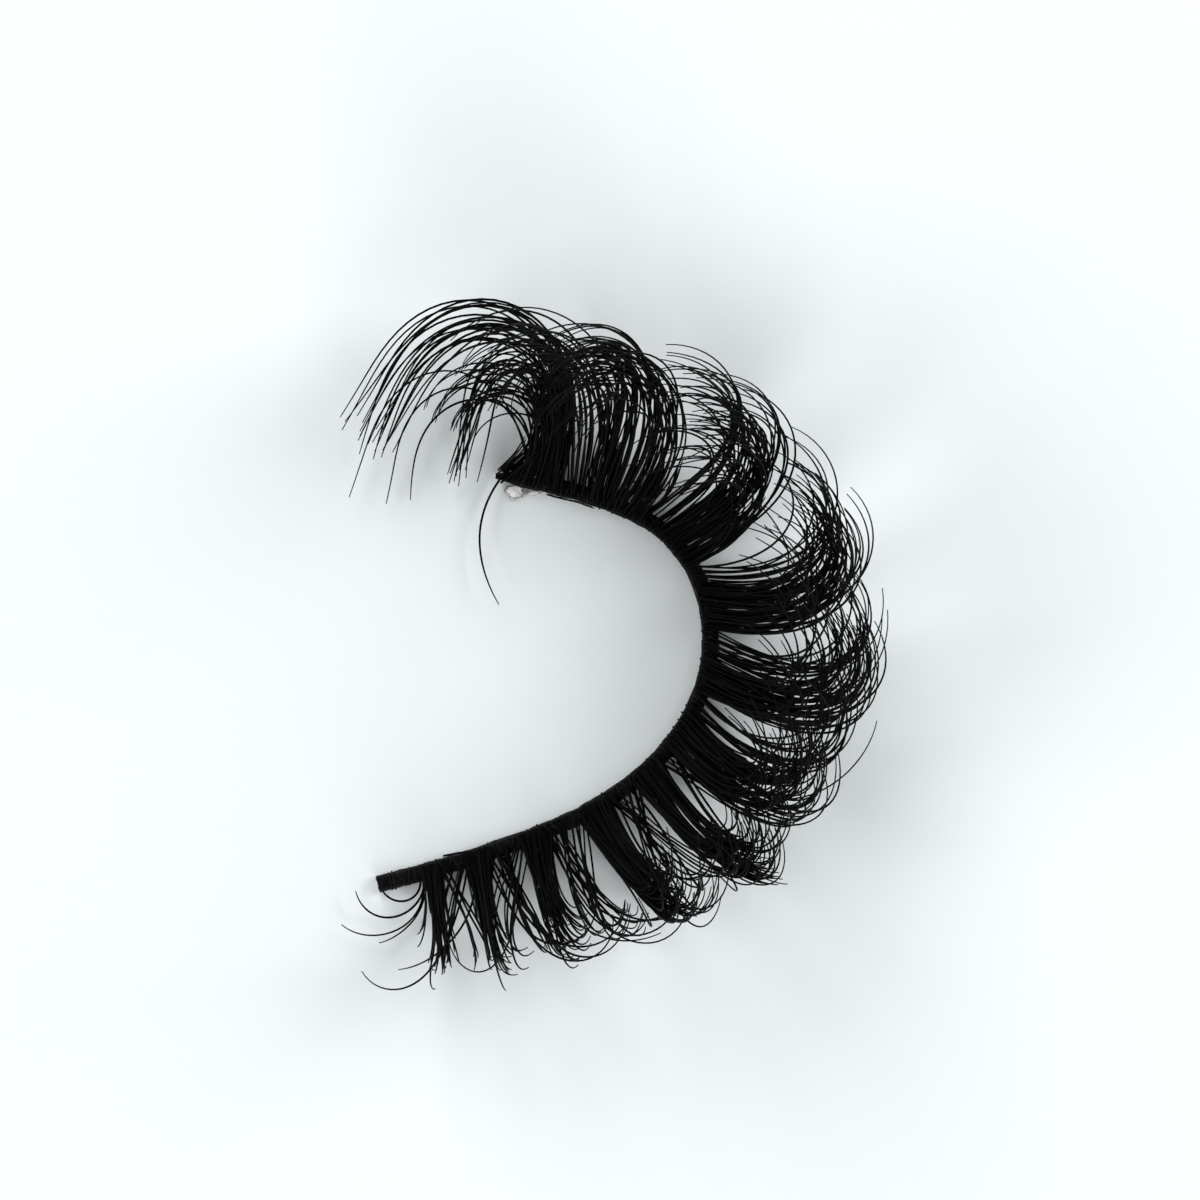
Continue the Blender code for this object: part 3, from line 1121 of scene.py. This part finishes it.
class StageSettings(bpy.types.PropertyGroup):
    floor_size: FloatProperty(
        name="Floor Size",
        description="Side of the floor",
        default=1.6, min=0.2, **DISTANCE,
    )
    camera_height: FloatProperty(
        name="Camera Height",
        description="Height of the camera above the floor",
        default=0.30, min=0.1, **DISTANCE,
    )
    view_width: FloatProperty(
        name="View Width",
        description="Width of the floor that the camera sees",
        default=54.05 * MM, min=10.0 * MM, **DISTANCE,
    )
    floor_colour: FloatVectorProperty(
        name="Floor Colour",
        description="Colour of the floor",
        default=(0.80, 0.84, 0.85), **COLOUR,
    )


def hair_inputs(path, fibre):
    """Inputs that all hairs have in common."""
    settings = bpy.context.scene.lash_hair
    return {
        "Band Path": path,
        "Fibre": fibre,
        "Clump Hold": CLUMP_HOLD,
        "Root Inner": ROOT_INNER,
        "Root Outer": ROOT_OUTER,
        "Root Bottom": ROOT_BOTTOM,
        "Root Top": ROOT_TOP,
        "Hair Radius": settings.thickness / 2,
        "Tip Radius": settings.tip_thickness / 2,
        "Taper Power": TAPER_POWER,
    }


def in_radians(degrees):
    """The same inputs with their angles in radians."""
    return {name: math.radians(value) for name, value in degrees.items()}


def tuft_inputs(index, order):
    """Inputs of one tuft of a cluster."""
    settings = bpy.context.scene.lash_hair
    cluster = CLUSTERS[index]
    tuft = TUFTS[cluster.kind][order]
    start, end = root_limits(index)
    _, root_heading = band_frame(cluster.place)
    length = settings.length * cluster.length * tuft.length
    turn = (end - start) * (tuft.end - tuft.start) * BAND_LENGTH / (GATHER_REACH * length)
    angles = {
        "Azimuth": root_heading + 90.0 - cluster.lean - tuft.lean,
        "Azimuth Spread": tuft.lean_spread,
        "Fan": tuft.fan,
        "Splay": tuft.splay,
        "Lift": cluster.lift + tuft.lift,
        "Lift Spread": tuft.lift_spread,
        "Roll": cluster.roll + tuft.roll,
        "Roll Spread": tuft.roll_spread,
        "Roll Fan": cluster.roll_fan,
        "Curl": cluster.curl * tuft.curl,
        "Wave": tuft.wave,
    }
    return {
        "Hairs": max(1, round(tuft.hairs * settings.fullness)),
        "Clump Size": tuft.clump,
        "Root Start": start + (end - start) * tuft.start,
        "Root End": start + (end - start) * tuft.end,
        "Length": length,
        "Shortest": tuft.shortest,
        "Dome": tuft.dome,
        "Gather": tuft.gather * cluster.gather * turn,
        "Clump Pull": tuft.pull * turn,
        "Curl Spread": tuft.curl_spread,
        "Curl Power": tuft.power,
        "Curl Ease": tuft.ease,
        "Bend From": tuft.bend_from,
        "Bend To": tuft.bend_to,
        "Seed": settings.seed + CLUSTER_SEEDS * index + TUFT_SEEDS * order,
        **in_radians(angles),
    }


def stray_inputs(number):
    """Inputs of one stray hair."""
    stray = STRAYS[number]
    angles = {
        "Azimuth": stray.heading,
        "Lift": stray.lift,
        "Roll": math.copysign(STRAY_ROLL, stray.turn),
        "Curl": abs(stray.turn),
        "Wave": STRAY_WAVE,
    }
    first_seed = bpy.context.scene.lash_hair.seed + FIRST_STRAY_SEED
    return {
        "Hairs": 1,
        "Clump Size": 1,
        "Root Start": stray.place,
        "Root End": stray.place,
        "Root Inner": stray.side * MM,
        "Root Outer": stray.side * MM,
        "Length": stray.length * MM,
        "Shortest": 1.0,
        "Curl Power": stray.power,
        "Curl Ease": stray.ease,
        "Bend From": STRAY_BEND[0],
        "Bend To": STRAY_BEND[1],
        "Seed": first_seed + TUFT_SEEDS * number,
        **in_radians(angles),
    }


class LASH_OT_clusters(bpy.types.Operator):
    """Grow the hair clusters, one piece each, in place of their solids"""

    bl_idname = "lash.clusters"
    bl_label = "Hair Clusters"

    def execute(self, context):
        tree = make_tuft_tree()
        path = make_band_path()
        common = hair_inputs(path, fibre_material())
        for index, cluster in enumerate(CLUSTERS):
            piece = new_piece(f"hair_cluster_{index + 1:02d}")
            for order in range(len(TUFTS[cluster.kind])):
                add_modifier(piece, tree, {**common, **tuft_inputs(index, order)})
            settle(piece)
            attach(piece, "root")
            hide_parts(f"lash_cluster_{index + 1:02d}")
        bpy.data.objects.remove(path, do_unlink=True)
        return {"FINISHED"}


class LASH_OT_strays(bpy.types.Operator):
    """Add the single hairs that stray from the clusters"""

    bl_idname = "lash.strays"
    bl_label = "Stray Hairs"

    def execute(self, context):
        tree = make_tuft_tree()
        path = make_band_path()
        common = hair_inputs(path, fibre_material())
        piece = new_piece("stray_hairs")
        for number in range(len(STRAYS)):
            add_modifier(piece, tree, {**common, **stray_inputs(number)})
        settle(piece)
        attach(piece, "root")
        bpy.data.objects.remove(path, do_unlink=True)
        return {"FINISHED"}


class LASH_OT_band(bpy.types.Operator):
    """Make the thread band: flat ribbon, two twisted cords and the knots round them"""

    bl_idname = "lash.band"
    bl_label = "Thread Band"

    def execute(self, context):
        settings = context.scene.lash_band
        path = make_band_path()
        piece = new_piece("thread_band")
        common = {"Band Path": path, "Thread": thread_material()}
        point = {
            "Point Share": POINT_LENGTH / BAND_LENGTH,
            "Point Size": POINT_WIDTH / BAND_WIDTH,
        }
        film = {
            "Width": settings.ribbon_width,
            "Thickness": settings.ribbon_thickness,
            "Height": settings.ribbon_thickness / 2 + FILM_UNDERSIDE,
            "Unevenness": FILM_UNEVENNESS,
            "Grain": FILM_GRAIN,
        }
        add_modifier(piece, make_film_tree(), {**common, **point, **film})
        cord_tree = make_cord_tree()
        for cord in CORDS:
            winding = {
                "Plies": CORD_PLIES,
                "Offset": cord.offset * MM,
                "Height": BAND_THICKNESS / 2,
                "Ply Radius": settings.ply_thickness / 2,
                "Winding Width": settings.ply_thickness / 2,
                "Winding Height": settings.ply_thickness / 2,
                "Turns": cord.turns,
            }
            add_modifier(piece, cord_tree, {**common, **point, **winding})
        loop = settings.knot_thickness
        knots = {
            "Knots": settings.knots,
            "Width": BAND_WIDTH - loop,
            "Thickness": BAND_THICKNESS - loop,
            "Height": BAND_THICKNESS / 2,
            "Thread Radius": loop / 2,
            "Slant": KNOT_SLANT,
            "First Share": POINT_LENGTH / BAND_LENGTH,
            "Last Share": 1.0 - KNOT_END_GAP / BAND_LENGTH,
            "Seed": settings.seed,
        }
        add_modifier(piece, make_knot_tree(), {**common, **knots})
        settle(piece)
        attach(piece, "root")
        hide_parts("lash_band")
        bpy.data.objects.remove(path, do_unlink=True)
        return {"FINISHED"}


def add_fleck(shape, fleck, number, unevenness):
    """Adds one closed bit of adhesive with a ragged outline to the mesh."""
    point, heading = band_frame(fleck.place)
    outward = direction(heading + 90.0)
    centre = point + outward * fleck.side * MM + UP * fleck.height * MM
    length_way = direction(heading + fleck.turn)
    width_way = direction(heading + fleck.turn + 90.0)
    edge = shape.verts.layers.float[FLECK_EDGE]
    rims = []
    for ring in range(FLECK_RINGS + 1):
        polar = math.pi * ring / FLECK_RINGS
        out, rise = math.sin(polar) ** FLECK_ROUNDNESS, math.cos(polar)
        sectors = 1 if ring in (0, FLECK_RINGS) else FLECK_SECTORS
        corners = []
        for sector in range(sectors):
            angle = 2.0 * math.pi * sector / FLECK_SECTORS
            x, y = math.cos(angle), math.sin(angle)
            sample = Vector((x * FLECK_GRAIN, y * FLECK_GRAIN, FLECK_STEP * number))
            ragged = 1.0 + unevenness * noise.fractal(sample, *FLECK_LAYERS)
            bump_sample = sample * BUMP_GRAIN + Vector((out * BUMP_STEP, 0.0, 0.0))
            bump = BUMP_HEIGHT * noise.noise(bump_sample)
            place = (
                centre
                + length_way * x * out * ragged * fleck.length * MM / 2
                + width_way * y * out * ragged * fleck.width * MM / 2
                + UP * (rise + bump * out) * fleck.thickness * MM / 2
            )
            place.z = max(place.z, FLECK_LOWEST)
            corner = shape.verts.new(place)
            corner[edge] = out
            corners.append(corner)
        rims.append(corners * (FLECK_SECTORS // sectors))
    for upper, lower in zip(rims, rims[1:]):
        for sector in range(FLECK_SECTORS):
            beside = (sector + 1) % FLECK_SECTORS
            ring = (upper[sector], lower[sector], lower[beside], upper[beside])
            shape.faces.new(list(dict.fromkeys(ring))).smooth = True


class LASH_OT_adhesive(bpy.types.Operator):
    """Add the dried, clear adhesive left beside and on the band"""

    bl_idname = "lash.adhesive"
    bl_label = "Dried Adhesive"

    def execute(self, context):
        settings = context.scene.lash_adhesive
        piece = new_piece("dried_adhesive")
        shape = bmesh.new()
        shape.verts.layers.float.new(FLECK_EDGE)
        for number, fleck in enumerate(FLECKS):
            add_fleck(shape, fleck, number, settings.raggedness)
        bmesh.ops.recalc_face_normals(shape, faces=shape.faces)
        shape.to_mesh(piece.data)
        shape.free()
        piece.data.materials.append(adhesive_material())
        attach(piece, "root")
        return {"FINISHED"}


def add_softbox(softbox):
    """Square soft light that faces the strip."""
    light = bpy.data.lights.new("softbox", "AREA")
    light.shape = "SQUARE"
    light.size = SOFTBOX_SIZE
    light.energy = softbox.watts
    rise = math.radians(softbox.height)
    way = direction(softbox.azimuth) * math.cos(rise) + UP * math.sin(rise)
    lamp = bpy.data.objects.new("softbox", light)
    lamp.location = way * SOFTBOX_DISTANCE
    lamp.rotation_euler = (-way).to_track_quat("-Z", "Y").to_euler()
    bpy.context.scene.collection.objects.link(lamp)


def add_floor(scene):
    half = scene.lash_stage.floor_size / 2
    corners = [(x * half, y * half, 0.0) for x, y in ((-1, -1), (1, -1), (1, 1), (-1, 1))]
    floor = new_piece("floor")
    floor.data.from_pydata(corners, [], [(0, 1, 2, 3)])
    floor.data.materials.append(floor_material())


def add_studio_light(scene):
    world = bpy.data.worlds.new("studio")
    world.use_nodes = True
    background = world.node_tree.nodes["Background"]
    background.inputs["Color"].default_value = (*STUDIO_COLOUR, 1.0)
    background.inputs["Strength"].default_value = STUDIO_STRENGTH
    scene.world = world
    scene.view_settings.view_transform = "Standard"
    for softbox in SOFTBOXES:
        add_softbox(softbox)


def add_camera(scene):
    settings = scene.lash_stage
    data = bpy.data.cameras.new("camera")
    data.lens = data.sensor_width * settings.camera_height / settings.view_width
    data.clip_start = 0.01
    data.clip_end = 10.0
    camera = bpy.data.objects.new("camera", data)
    camera.location = (*CAMERA_PLACE, settings.camera_height)
    scene.collection.objects.link(camera)
    scene.camera = camera


class LASH_OT_stage(bpy.types.Operator):
    """Set up the floor, the soft lights and the camera above the strip"""

    bl_idname = "lash.stage"
    bl_label = "Stage"

    def execute(self, context):
        add_floor(context.scene)
        add_studio_light(context.scene)
        add_camera(context.scene)
        return {"FINISHED"}


class LASH_PT_panel(bpy.types.Panel):
    """Lists the steps that build the strip"""

    bl_idname = "LASH_PT_panel"
    bl_label = "False Eyelash Strip"
    bl_space_type = "VIEW_3D"
    bl_region_type = "UI"
    bl_category = "Lash Strip"

    def draw(self, context):
        for step in STEPS:
            self.layout.operator(step.bl_idname)


STEPS = (LASH_OT_clusters, LASH_OT_strays, LASH_OT_band, LASH_OT_adhesive, LASH_OT_stage)
SETTINGS = {
    "lash_hair": HairSettings,
    "lash_band": BandSettings,
    "lash_adhesive": AdhesiveSettings,
    "lash_stage": StageSettings,
}
CLASSES = (*SETTINGS.values(), *STEPS, LASH_PT_panel)


def register():
    for item in CLASSES:
        bpy.utils.register_class(item)
    for name, group in SETTINGS.items():
        setattr(bpy.types.Scene, name, PointerProperty(type=group))


def unregister():
    for name in SETTINGS:
        delattr(bpy.types.Scene, name)
    for item in reversed(CLASSES):
        bpy.utils.unregister_class(item)


def main():
    register()
    bpy.ops.lash.clusters()
    bpy.ops.lash.strays()
    bpy.ops.lash.band()
    bpy.ops.lash.adhesive()
    bpy.ops.lash.stage()


if __name__ == "__main__":
    main()
